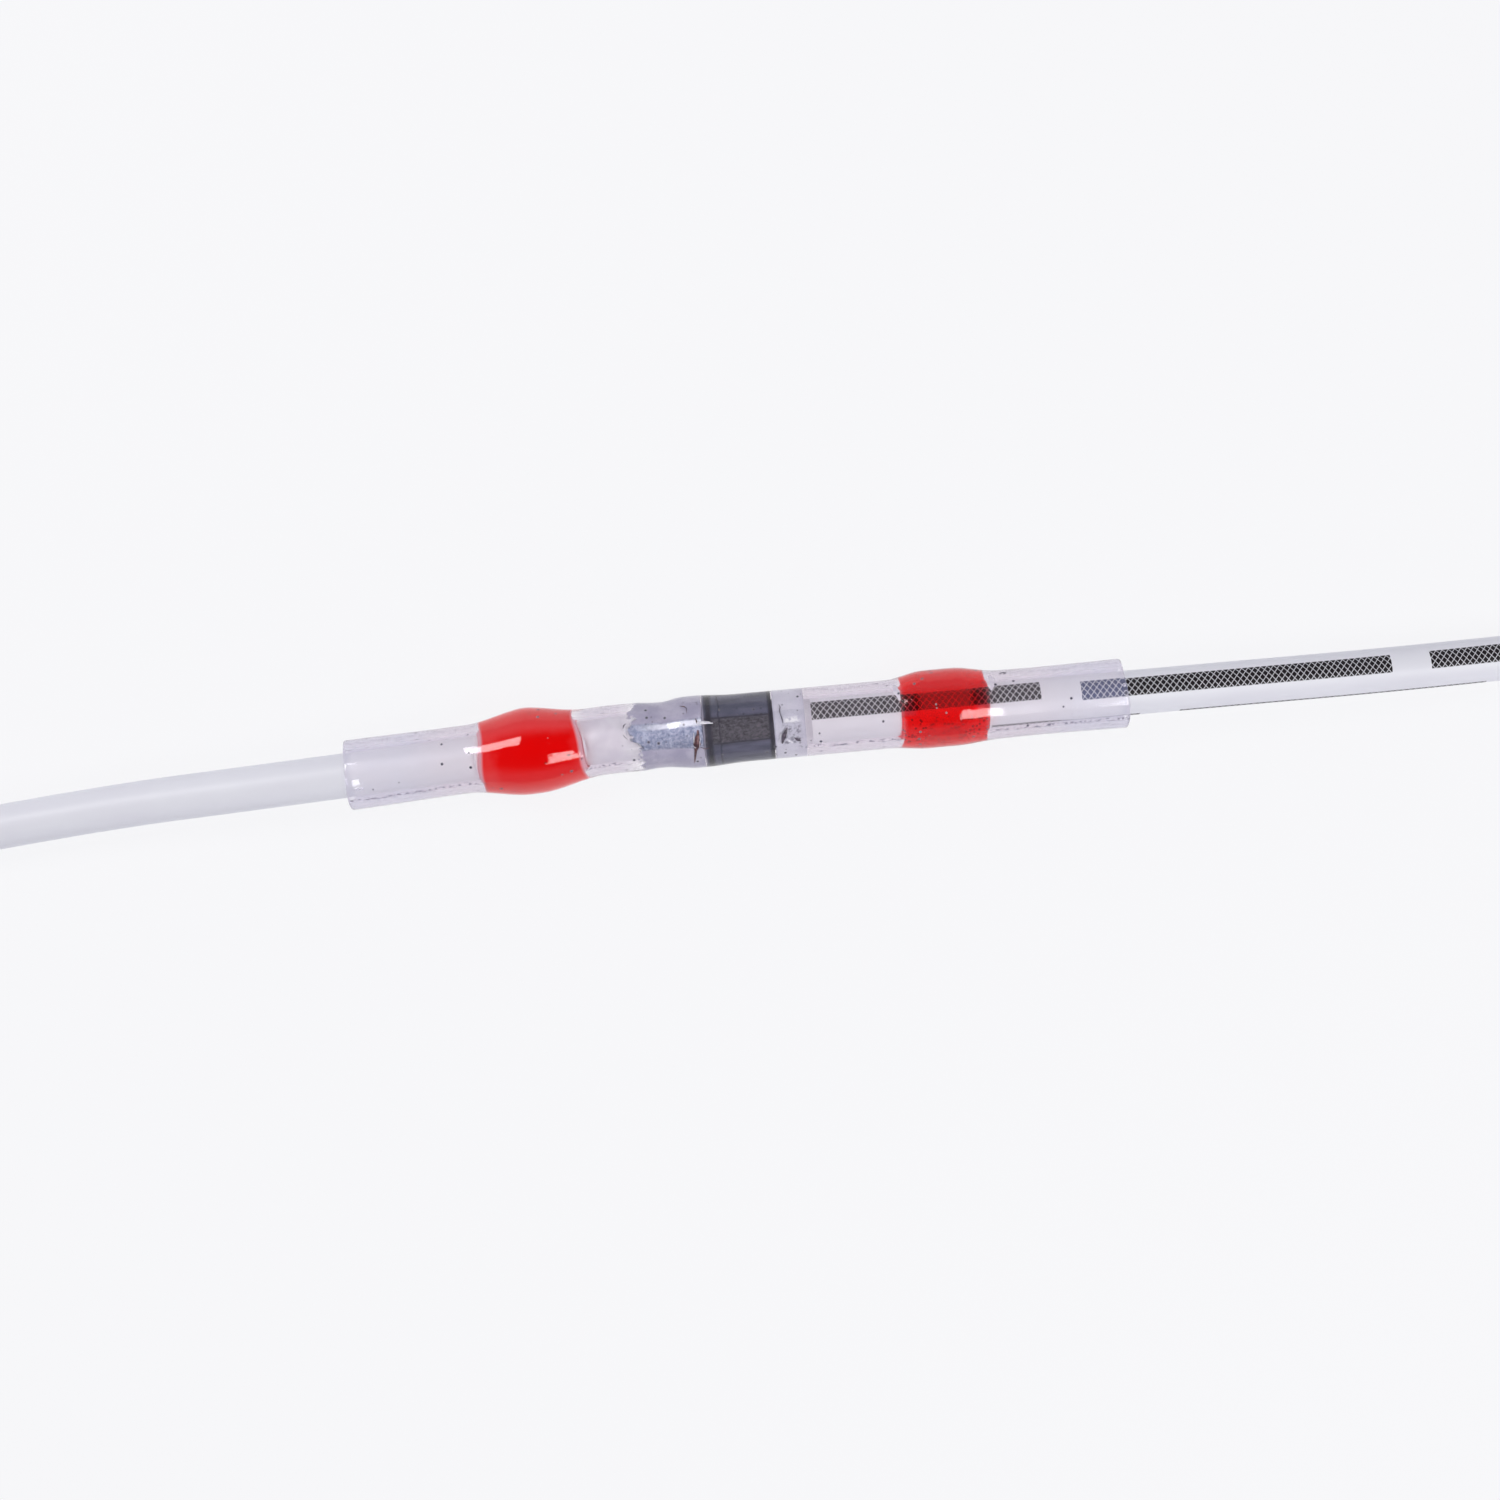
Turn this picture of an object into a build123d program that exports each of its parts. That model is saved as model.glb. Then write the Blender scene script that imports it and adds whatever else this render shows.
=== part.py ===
"""Solder seal wire connector, shrunk over two stranded leads.

A clear heat-shrink sleeve lies on the floor along X, a little bent. Two red
seal rings grip the leads, and between them a solder ring and its melted
solder hold the bared strands, which lap side by side. Millimetres and
degrees. The origin is on the floor, under the middle of the sleeve.
"""

import os
from math import asin, atan, cos, degrees, pi, radians, sin, tan

from build123d import *

# Leads
wire_diameter = 2.3
strand_diameter = 0.25
strands_round_core = 6
strand_gap = 0.01
lap_web = 0.05
lap_end = 2.5

# Clearances
bond_gap = 0.02
strip_gap = 0.04
sleeve_gap = 0.20
seat_gap = 0.04
waist_gap = 0.16

# Lengths along the sleeve, from the left mouth to the right one
left_mouth_run = 5.85
left_flank = 3.5
bend_run = 0.7
strip_past_bend = 0.65
ring_inset = 4.0
ring_length = 3.7
ring_outset = 1.7
right_free_run = 4.1
right_rise_run = 2.0
right_flat = 1.6
right_fall_run = 2.2
right_mouth_run = 6.5

# Sleeve
sleeve_wall = 0.41
bend_angle = 2.6
mouth_flare = 0.03
left_swell = 0.53
right_swell = 0.308
crown_radius = 5.0
lump_swell = 0.10
lump_lead = 0.3
lump_fall = 0.8

# Seal rings
left_seal_length = 5.3
right_seal_length = 4.2
seal_slope = 0.12

# Solder
ring_wall = 0.24
ring_chamfer = 0.06
ring_cover = 0.06
body_cover = 0.07
nose_cover = 0.09
nose_run = 1.1
shoulder_run = 1.3
shoulder_step = 0.03
cap_taper = 0.07

# Stations along the sleeve, worked out from the lengths above
left_swell_station = left_mouth_run + left_flank
bend_start = left_swell_station + left_flank
bend_station = bend_start + bend_run
bend_stop = bend_station + bend_run
joint_start = bend_station + strip_past_bend
joint_length = ring_inset + ring_length + ring_outset
joint_stop = joint_start + joint_length
ring_start = joint_start + ring_inset
ring_stop = ring_start + ring_length
lump_station = ring_start - lump_lead
waist_station = (bend_stop + lump_station) / 2
right_swell_start = joint_stop + right_free_run
right_flat_start = right_swell_start + right_rise_run
right_flat_stop = right_flat_start + right_flat
right_swell_stop = right_flat_stop + right_fall_run
sleeve_length = right_swell_stop + right_mouth_run

# Radii, from the strands outwards
wire_radius = wire_diameter / 2
strand_radius = strand_diameter / 2
strand_pitch = strand_diameter + strand_gap
strand_circle = strand_pitch * max(1, 0.5 / sin(pi / strands_round_core))
channel_radius = strand_circle + strand_radius + bond_gap / 2
lap_spacing = 2 * channel_radius + lap_web
lap_reach = lap_spacing * (joint_length - lap_end) / joint_length + channel_radius
core_radius = lap_reach + ring_cover
ring_bore = core_radius + bond_gap
ring_outer = ring_bore + ring_wall
solder_radius = core_radius + body_cover
body_bore = max(wire_radius + sleeve_gap, ring_outer + seat_gap)
lump_bore = body_bore + lump_swell
waist_bore = solder_radius + waist_gap
left_swell_bore = body_bore + left_swell
right_swell_bore = body_bore + right_swell
crown_drop = crown_radius * (1 / cos(atan(left_swell / left_flank)) - 1)
largest_radius = left_swell_bore + sleeve_wall - crown_drop

# The sleeve's two straight limbs, as planes with their x along the limb
left_tilt = bend_angle * (sleeve_length - bend_station) / sleeve_length
right_tilt = left_tilt - bend_angle
left_way = Vector(cos(radians(left_tilt)), sin(radians(left_tilt)), 0)
right_way = Vector(cos(radians(right_tilt)), sin(radians(right_tilt)), 0)
left_mouth = (-sleeve_length / 2, -left_swell_station * left_way.Y, largest_radius)
left_limb = Plane(origin=left_mouth, x_dir=left_way, z_dir=(0, 0, 1))
bend_point = left_limb.from_local_coords((bend_station, 0, 0))
right_limb = Plane(origin=bend_point - right_way * bend_station, x_dir=right_way, z_dir=(0, 0, 1))

# Bore of the sleeve: the station and radius of each place where its slope changes
left_bore = [
    (0, body_bore + mouth_flare),
    (left_mouth_run, body_bore),
    (left_swell_station, left_swell_bore),
    (bend_start, body_bore),
]
right_bore = [
    (bend_stop, body_bore),
    (waist_station, waist_bore),
    (lump_station, lump_bore),
    (ring_start + lump_fall, body_bore),
    (right_swell_start, body_bore),
    (right_flat_start, right_swell_bore),
    (right_flat_stop, right_swell_bore),
    (right_swell_stop, body_bore),
    (sleeve_length, body_bore),
]

# Routes of the leads, from the bared end outwards, chosen by hand
left_wire_route = [
    left_limb.from_local_coords((joint_start, 0, 0)),
    left_limb.from_local_coords((-1.0, 0, 0)),
    Vector(-36.4, -0.68, wire_radius),
    Vector(-51.5, -2.2, wire_radius),
]
right_wire_route = [
    right_limb.from_local_coords((joint_stop, 0, 0)),
    right_limb.from_local_coords((sleeve_length + 1.0, 0, 0)),
    Vector(38.5, -0.62, wire_radius),
    Vector(52.5, -0.45, wire_radius),
]


def limb_axis(limb):
    """Centre line of a limb"""
    return Axis(limb.origin, limb.x_dir)


def cross_plane(start, way):
    """Plane square to a direction, with its x upwards"""
    return Plane(origin=start, x_dir=(0, 0, 1), z_dir=way)


def radius_at(knots, station):
    """Radius of a straight-lined outline at a station"""
    for (near, low), (far, high) in zip(knots, knots[1:]):
        if near <= station <= far:
            return low + (high - low) * (station - near) / (far - near)


def corner_radii(points):
    """Radius of the arc at each corner: as large as its two runs allow"""
    radii = []
    for before, corner, after in zip(points, points[1:], points[2:]):
        half_turn = radians((corner - before).get_angle(after - corner)) / 2
        shorter = min((corner - before).length, (after - corner).length)
        radii.append(0.45 * shorter / tan(half_turn))
    return radii


def save(piece, label):
    """Name a finished piece and write it out"""
    piece.part.label = label
    export_step(piece.part, f"parts/{label}.step")


os.makedirs("parts", exist_ok=True)


# Heat-shrink sleeve: two limbs turned about their own straight lines, with rounded crowns, and a short bend
with BuildPart() as heat_shrink_sleeve:
    for limb, knots in ((left_limb, left_bore), (right_limb, right_bore)):
        outside = [(station, radius + sleeve_wall) for station, radius in knots]
        with BuildSketch(limb) as wall:
            with BuildLine():
                Polyline(*knots, *reversed(outside), close=True)
            make_face()
            crowns = wall.vertices().filter_by(lambda corner: corner.Y > left_swell_bore)
            fillet(crowns, crown_radius)
        revolve(axis=limb_axis(limb))
    bend_radius = bend_run / tan(radians(bend_angle / 2))
    bend_centre = left_limb.from_local_coords((bend_start, -bend_radius, 0))
    elbow_start = left_limb.from_local_coords((bend_start, 0, 0))
    with BuildSketch(cross_plane(elbow_start, left_way)):
        Circle(body_bore + sleeve_wall)
        Circle(body_bore, mode=Mode.SUBTRACT)
    revolve(axis=Axis(bend_centre, (0, 0, -1)), revolution_arc=bend_angle)
save(heat_shrink_sleeve, "heat_shrink_sleeve")


# Seal rings: melted adhesive that fills each swell and runs out further along the lead
right_swell_station = (right_flat_start + right_flat_stop) / 2
seal_rings = [
    ("left_seal_ring", left_limb, left_bore, left_swell_station, left_seal_length),
    ("right_seal_ring", right_limb, right_bore, right_swell_station, right_seal_length),
]
foot = wire_radius + bond_gap
for label, limb, knots, middle, seal_length in seal_rings:
    seal_start = middle - seal_length / 2
    seal_stop = middle + seal_length / 2
    wall_start = seal_start + seal_slope
    wall_stop = seal_stop - seal_slope
    crest = [(station, radius - bond_gap) for station, radius in knots if wall_start < station < wall_stop]
    with BuildPart() as seal_ring:
        with BuildSketch(limb):
            with BuildLine():
                Polyline(
                    (seal_start, foot),
                    (wall_start, radius_at(knots, wall_start) - bond_gap),
                    *crest,
                    (wall_stop, radius_at(knots, wall_stop) - bond_gap),
                    (seal_stop, foot),
                    close=True,
                )
            make_face()
        revolve(axis=limb_axis(limb))
    save(seal_ring, label)


# Solder ring, round the lapped strands
with BuildPart() as solder_ring:
    with BuildSketch(right_limb) as section:
        with Locations(((ring_start + ring_stop) / 2, (ring_bore + ring_outer) / 2)):
            Rectangle(ring_length, ring_wall)
        chamfer(section.vertices().group_by(Axis.Y)[-1], ring_chamfer)
    revolve(axis=limb_axis(right_limb))
save(solder_ring, "solder_ring")


# Bared strands: each bundle slants across the joint from the middle of its lead, side by side with the other
left_foot = left_wire_route[0]
right_foot = right_wire_route[0]
joint_span = right_foot - left_foot
lap_way = joint_span.normalized().rotate(Axis.Z, degrees(asin(lap_spacing / joint_span.length)))
strand_length = joint_span.length - lap_end - strip_gap
bundles = (("left", left_foot, lap_way), ("right", right_foot, -lap_way))
strand_places = [(0, 0)]
for number in range(strands_round_core):
    turn = 2 * pi * number / strands_round_core
    strand_places.append((strand_circle * cos(turn), strand_circle * sin(turn)))
for side, bundle_foot, way in bundles:
    for number, place in enumerate(strand_places, 1):
        with BuildPart() as strand:
            with BuildSketch(cross_plane(bundle_foot + way * strip_gap, way)):
                with Locations(place):
                    Circle(strand_radius)
            extrude(amount=strand_length)
        save(strand, f"{side}_strand_{number}")


# Solder fill: one melted body from lead to lead, with a channel for each bundle
fill_start = joint_start + strip_gap
fill_stop = joint_stop - strip_gap
fill_outline = [
    (fill_start, 0),
    (fill_start, channel_radius + nose_cover),
    (fill_start + nose_run, solder_radius),
    (ring_start - shoulder_run, solder_radius),
    (ring_start - bond_gap, ring_outer - shoulder_step),
    (ring_start - bond_gap, core_radius),
    (ring_stop + bond_gap, core_radius),
    (ring_stop + bond_gap, solder_radius),
    (fill_stop, solder_radius - cap_taper),
    (fill_stop, 0),
]
with BuildPart() as solder_fill:
    with BuildSketch(right_limb):
        with BuildLine():
            Polyline(*fill_outline, close=True)
        make_face()
    revolve(axis=limb_axis(right_limb))
    for _, bundle_foot, way in bundles:
        with BuildSketch(cross_plane(bundle_foot, way)):
            Circle(channel_radius)
        extrude(amount=strip_gap + strand_length + bond_gap, mode=Mode.SUBTRACT)
save(solder_fill, "solder_fill")


# Leads: insulated wires, each ending square at its bared strands
for label, route in (("left_wire", left_wire_route), ("right_wire", right_wire_route)):
    radii = corner_radii(route)
    with BuildPart() as wire:
        with BuildLine() as path:
            FilletPolyline(route, radius=radii)
        with BuildSketch(cross_plane(route[0], route[1] - route[0])):
            Circle(wire_radius)
        sweep()
    save(wire, label)
    length = path.wire().length
    print(label, "points", [tuple(round(value, 3) for value in point) for point in route])
    print(label, "radii", [round(radius, 1) for radius in radii], "length", round(length, 2))
    print(label, "volume over section times length", wire.part.volume / (pi * wire_radius**2 * length))

print("sleeve length", round(sleeve_length, 3), "largest diameter", round(2 * largest_radius, 3))
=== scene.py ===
"""Looks of a solder seal wire connector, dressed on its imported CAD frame.

Millimetres and degrees here, turned into metres where a mesh is made. A place
on the sleeve is a station, the distance along it from its left mouth, and a
turn, the angle round it from the top towards +Y.
"""

import math

import bpy
import numpy as np
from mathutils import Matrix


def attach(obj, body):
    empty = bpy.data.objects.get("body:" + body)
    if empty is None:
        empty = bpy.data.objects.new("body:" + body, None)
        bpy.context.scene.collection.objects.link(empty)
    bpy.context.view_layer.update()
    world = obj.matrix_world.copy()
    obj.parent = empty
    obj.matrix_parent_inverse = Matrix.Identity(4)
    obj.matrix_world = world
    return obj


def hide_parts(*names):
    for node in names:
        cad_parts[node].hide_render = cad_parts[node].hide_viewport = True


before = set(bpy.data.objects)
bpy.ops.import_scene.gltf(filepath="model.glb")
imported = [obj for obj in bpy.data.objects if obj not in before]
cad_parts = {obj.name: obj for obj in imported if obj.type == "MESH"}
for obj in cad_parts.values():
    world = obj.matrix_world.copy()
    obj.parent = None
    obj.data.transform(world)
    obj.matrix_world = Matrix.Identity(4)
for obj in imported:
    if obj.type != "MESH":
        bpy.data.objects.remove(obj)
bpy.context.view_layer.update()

MM = 0.001

# Sizes shared with the CAD model
sleeve_length = 40.0
bend_angle = 2.6
bend_start = 12.85
bend_station = 13.55
left_crown = 9.35
axis_height = 2.255
wire_radius = 1.15
strand_radius = 0.125
band_start = 18.2
band_stop = 21.9

# Routes of the leads, the same points as in the CAD model
left_route = [(-5.806, 0.146, 2.255), (-21.0, -0.311, 2.255), (-36.4, -0.68, 1.15), (-51.5, -2.2, 1.15)]
right_route = [(3.593, -0.028, 2.255), (20.991, -0.296, 2.255), (38.5, -0.62, 1.15), (52.5, -0.45, 1.15)]

# Directions of the sleeve's two limbs
left_tilt = math.radians(bend_angle * (sleeve_length - bend_station) / sleeve_length)
right_tilt = left_tilt - math.radians(bend_angle)
left_way = np.array((math.cos(left_tilt), math.sin(left_tilt), 0))
right_way = np.array((math.cos(right_tilt), math.sin(right_tilt), 0))
left_mouth = np.array((-sleeve_length / 2, -left_crown * left_way[1], axis_height))

# Camera: where the photo was taken from
camera_point = (0.52, -1.16, 112.3)
camera_roll = -6.06
camera_lens = 51.6


def make_camera():
    """Camera of the photo"""
    data = bpy.data.cameras.new("camera")
    data.lens = camera_lens
    data.sensor_width = 36
    data.clip_start = 0.001
    data.clip_end = 10
    camera = bpy.data.objects.new("camera", data)
    camera.location = [value * MM for value in camera_point]
    camera.rotation_euler = (0, 0, math.radians(camera_roll))
    bpy.context.scene.collection.objects.link(camera)
    bpy.context.scene.camera = camera


# Shapes: rings of points become a skin. Each point keeps its place along and round the axis and,
# as reach, a number of the piece's own: its side of the wall, or how far in from an edge it is


def ease(value, low, high):
    """Smooth step from 0 at low to 1 at high"""
    share = np.clip((np.asarray(value, float) - low) / (high - low), 0, 1)
    return share * share * (3 - 2 * share)


def hill(value, start, crest_start, crest_stop, stop):
    """0 outside start and stop, 1 on the crest, smooth between"""
    return ease(value, start, crest_start) * (1 - ease(value, crest_stop, stop))


def axis_at(stations):
    """Points on the sleeve's axis, and the tilt of the axis there"""
    stations = np.asarray(stations, float)
    beyond = np.clip(stations - bend_station, 0, None)[..., None]
    before = np.minimum(stations, bend_station)[..., None]
    turn = np.clip((stations - bend_start) / (2 * (bend_station - bend_start)), 0, 1)
    return left_mouth + before * left_way + beyond * right_way, left_tilt + (right_tilt - left_tilt) * turn


def places(stations, turns, radii):
    """Points at stations, turns in degrees and radii, which are arrays of one shape"""
    stations, turns, radii = np.broadcast_arrays(stations, np.radians(turns), radii)
    centres, tilts = axis_at(stations)
    side = radii * np.sin(turns)
    offset = np.stack((-np.sin(tilts) * side, np.cos(tilts) * side, radii * np.cos(turns)), -1)
    return centres + offset


def round_turns(count):
    """Turns of a full ring, starting at the underside"""
    return np.arange(count) * 360 / count - 180


def skin(name, rows, along, turns, reach, closed=False, slots=None):
    """Mesh object of rings of points, which keeps three numbers at each point for its material"""
    rows = np.asarray(rows, float)
    count, ring = rows.shape[:2]
    index = np.arange(count * ring).reshape(count, ring)
    if closed:
        index = np.vstack((index, index[:1]))
    near, far = index[:-1], index[1:]
    quads = np.stack((near, far, np.roll(far, -1, 1), np.roll(near, -1, 1)), -1)
    mesh = bpy.data.meshes.new(name)
    mesh.from_pydata((rows.reshape(-1, 3) * MM).tolist(), [], quads.reshape(-1, 4).tolist())
    for label, values in (("along", along), ("turn", turns), ("reach", reach)):
        layer = mesh.attributes.new(label, "FLOAT", "POINT")
        layer.data.foreach_set("value", np.broadcast_to(values, (count, ring)).astype(np.float32).ravel())
    if slots is not None:
        faces = np.repeat(slots, ring).astype(np.int32)
        mesh.polygons.foreach_set("material_index", faces)
    mesh.shade_smooth()
    piece = bpy.data.objects.new(name, mesh)
    bpy.context.scene.collection.objects.link(piece)
    return piece


def lathe(name, outline, ring=96, reach=None, **options):
    """Skin turned from an outline of stations and radii, which may be arrays over the turns"""
    turns = round_turns(ring)
    stations = np.array([np.broadcast_to(station, turns.shape) for station, _ in outline])
    radii = np.array([np.broadcast_to(radius, turns.shape) for _, radius in outline])
    rows = places(stations, turns, radii)
    return skin(name, rows, stations, turns, radii if reach is None else reach, **options)


# Outline of the sleeve's skin, read off the photo

mouth_radius = 1.80
body_radius = 1.755
neck_radius = 1.748
left_swell = 0.49
right_swell = 0.33
rise_skew = 0.15
fall_skew = 0.32
waist_dip = 0.075
lump_height = 0.10
sleeve_wall = 0.42
wall_density = 0.2
# how far the seals and the band, and the melted solder, sink into the wall
seal_press = 0.02
melt_press = 0.035


def skin_radius(stations, turns):
    """Outside radius of the sleeve"""
    towards_y = np.sin(np.radians(turns))
    radius = mouth_radius + (neck_radius - mouth_radius) * ease(stations, 0, 5.2)
    radius = radius + (body_radius - neck_radius) * ease(stations, 9, 14)
    rise = ease(stations - rise_skew * towards_y, 6.05, 9.35)
    fall = ease(stations + fall_skew * towards_y, 9.34, 12.64)
    radius = radius + left_swell * rise * (1 - fall)
    radius = radius + right_swell * (0.75 + 0.25 * towards_y) * hill(stations, 27.7, 29.7, 31.1, 33.5)
    radius = radius - waist_dip * hill(stations, 14.9, 16.0, 16.2, 17.0)
    radius = radius + lump_height * hill(stations + 0.2 * towards_y, 16.6, 17.6, 18.1, 20.2)
    return radius - 0.02 * ease(stations, 33, 35.5) + 0.055 * ease(stations, 35, 41.5)


# Materials: small helpers for node trees


def new_tree(name):
    """Material with an empty tree and its output"""
    material = bpy.data.materials.new(name)
    material.use_nodes = True
    tree = material.node_tree
    tree.nodes.clear()
    tree.nodes.new("ShaderNodeOutputMaterial")
    return material, tree


def wire_up(tree, node, values):
    """Set each named input of a node to a number, a colour or another node's output"""
    for label, value in values.items():
        socket = node.inputs[label]
        if isinstance(value, bpy.types.NodeSocket):
            tree.links.new(value, socket)
        else:
            socket.default_value = value


def finish_tree(tree, shader, depth=None):
    """Join the shader of the surface, and of the depth if there is one, to the output"""
    output = tree.nodes["Material Output"]
    tree.links.new(shader, output.inputs["Surface"])
    if depth:
        tree.links.new(depth, output.inputs["Volume"])


def wall_tint(tree):
    """Light swallowed by the depth of the sleeve's wall"""
    node = tree.nodes.new("ShaderNodeVolumeAbsorption")
    wire_up(tree, node, {"Color": (0.41, 0.335, 0.505, 1.0), "Density": wall_density / MM})
    return node.outputs["Volume"]


def maths(tree, operation, first, second=0.0, clamp=False):
    """Result of one operation on two values"""
    node = tree.nodes.new("ShaderNodeMath")
    node.operation = operation
    node.use_clamp = clamp
    wire_up(tree, node, {0: first, 1: second})
    return node.outputs[0]


def combined(tree, operation, result, *others):
    """One operation over several values, in their order"""
    for other in others:
        result = maths(tree, operation, result, other)
    return result


def total(tree, *values):
    """Sum of the values"""
    return combined(tree, "ADD", *values)


def product(tree, *values):
    """Product of the values"""
    return combined(tree, "MULTIPLY", *values)


def largest(tree, *values):
    """Largest of the values"""
    return combined(tree, "MAXIMUM", *values)


def attribute(tree, label):
    """Number kept on the mesh under a label"""
    node = tree.nodes.new("ShaderNodeAttribute")
    node.attribute_name = label
    return node.outputs["Fac"]


def object_mm(tree):
    """Object coordinates in millimetres"""
    coordinates = tree.nodes.new("ShaderNodeTexCoord")
    scale = tree.nodes.new("ShaderNodeVectorMath")
    scale.operation = "SCALE"
    wire_up(tree, scale, {"Vector": coordinates.outputs["Object"], "Scale": 1 / MM})
    return scale.outputs["Vector"]


def stretched(tree, vector, scale):
    """Vector with its three parts scaled"""
    node = tree.nodes.new("ShaderNodeVectorMath")
    node.operation = "MULTIPLY"
    wire_up(tree, node, {0: vector, 1: scale})
    return node.outputs["Vector"]


def noise(tree, vector, scale, detail=3.0, roughness=0.55):
    """Cloudy noise from 0 to 1"""
    node = tree.nodes.new("ShaderNodeTexNoise")
    wire_up(tree, node, {"Vector": vector, "Scale": scale, "Detail": detail, "Roughness": roughness})
    return node.outputs["Fac"]


def sway(tree, cloud, amount):
    """Noise as a shift to both sides"""
    return product(tree, maths(tree, "SUBTRACT", cloud, 0.5), amount)


def step(tree, value, low, high, from_value=0.0, to_value=1.0):
    """Smooth step of a value, from one number at low to another at high"""
    node = tree.nodes.new("ShaderNodeMapRange")
    node.interpolation_type = "SMOOTHSTEP"
    wire_up(tree, node, {"Value": value, "From Min": low, "From Max": high})
    wire_up(tree, node, {"To Min": from_value, "To Max": to_value})
    return node.outputs["Result"]


def fall(tree, value, low, high):
    """1 below low and 0 above high, smooth between"""
    return step(tree, value, low, high, 1.0, 0.0)


def blend(tree, share, from_value, to_value):
    """Number that follows a share from 0 to 1"""
    return step(tree, share, 0.0, 1.0, from_value, to_value)


def window(tree, value, start, stop, soft):
    """1 between start and stop, 0 outside, with soft ends"""
    rise = step(tree, value, start - soft, start + soft)
    return product(tree, rise, fall(tree, value, stop - soft, stop + soft))


def rest_of(tree, share):
    """What a share leaves of 1"""
    return maths(tree, "SUBTRACT", 1.0, share)


def mix(tree, share, first, second):
    """Mix of two colours"""
    node = tree.nodes.new("ShaderNodeMix")
    node.data_type = "RGBA"
    wire_up(tree, node, {0: share, 6: first, 7: second})
    return node.outputs[2]


def specks(tree, vector, scale, size, density):
    """Mask of small dark dots: the cores of some cells of a cell pattern"""
    cells = tree.nodes.new("ShaderNodeTexVoronoi")
    wire_up(tree, cells, {"Vector": vector, "Scale": scale})
    near = fall(tree, cells.outputs["Distance"], size * 0.5, size)
    split = tree.nodes.new("ShaderNodeSeparateColor")
    wire_up(tree, split, {"Color": cells.outputs["Color"]})
    chosen = maths(tree, "LESS_THAN", split.outputs["Red"], density)
    return product(tree, near, chosen)


def bump(tree, height, strength, distance):
    """Normal bent by a height, with its distance in millimetres"""
    node = tree.nodes.new("ShaderNodeBump")
    wire_up(tree, node, {"Height": height, "Strength": strength, "Distance": distance * MM})
    return node.outputs["Normal"]


def principled(tree, values):
    """Shader of a solid surface"""
    node = tree.nodes.new("ShaderNodeBsdfPrincipled")
    wire_up(tree, node, values)
    return node.outputs["BSDF"]


def transparent(tree, tint):
    """Shader that lets light straight through, with a tint"""
    node = tree.nodes.new("ShaderNodeBsdfTransparent")
    wire_up(tree, node, {"Color": tint})
    return node.outputs[0]


def mix_shaders(tree, share, first, second):
    """Mix of two shaders"""
    node = tree.nodes.new("ShaderNodeMixShader")
    wire_up(tree, node, {0: share, 1: first, 2: second})
    return node.outputs[0]


def lit_through(tree, shader, tint=(1.0, 1.0, 1.0, 1.0)):
    """Glass that lets light straight through to what is behind it, and refracts only what is seen"""
    path = tree.nodes.new("ShaderNodeLightPath")
    bounced = maths(tree, "GREATER_THAN", path.outputs["Diffuse Depth"], 0.5)
    straight = largest(tree, path.outputs["Is Shadow Ray"], bounced)
    return mix_shaders(tree, straight, shader, transparent(tree, tint))


def rgb(red, green, blue):
    """Colour from its 0 to 255 screen values"""
    parts = [value / 255 for value in (red, green, blue)]
    return tuple(p / 12.92 if p <= 0.04045 else ((p + 0.055) / 1.055) ** 2.4 for p in parts) + (1.0,)


# Materials of the pieces

# Zones along the axis, and turns round it: start, stop and how soft the ends are
wet_zones = ((7.0, 12.1, 0.3), (28.4, 32.6, 0.3), (14.4, 23.2, 0.5))
loose_zone = (4.0, 36.2, 1.2)
scuffed_zone = (31.6, 35.6, 0.8)
# Turns of two faint dark speckled lines along the sleeve, one near its top and one near its underside
upper_line_turns = (58.0, 66.0, 2.5)
lower_line_turns = (-52.0, -46.0, 2.5)
upper_line_strength = 0.45


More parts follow.
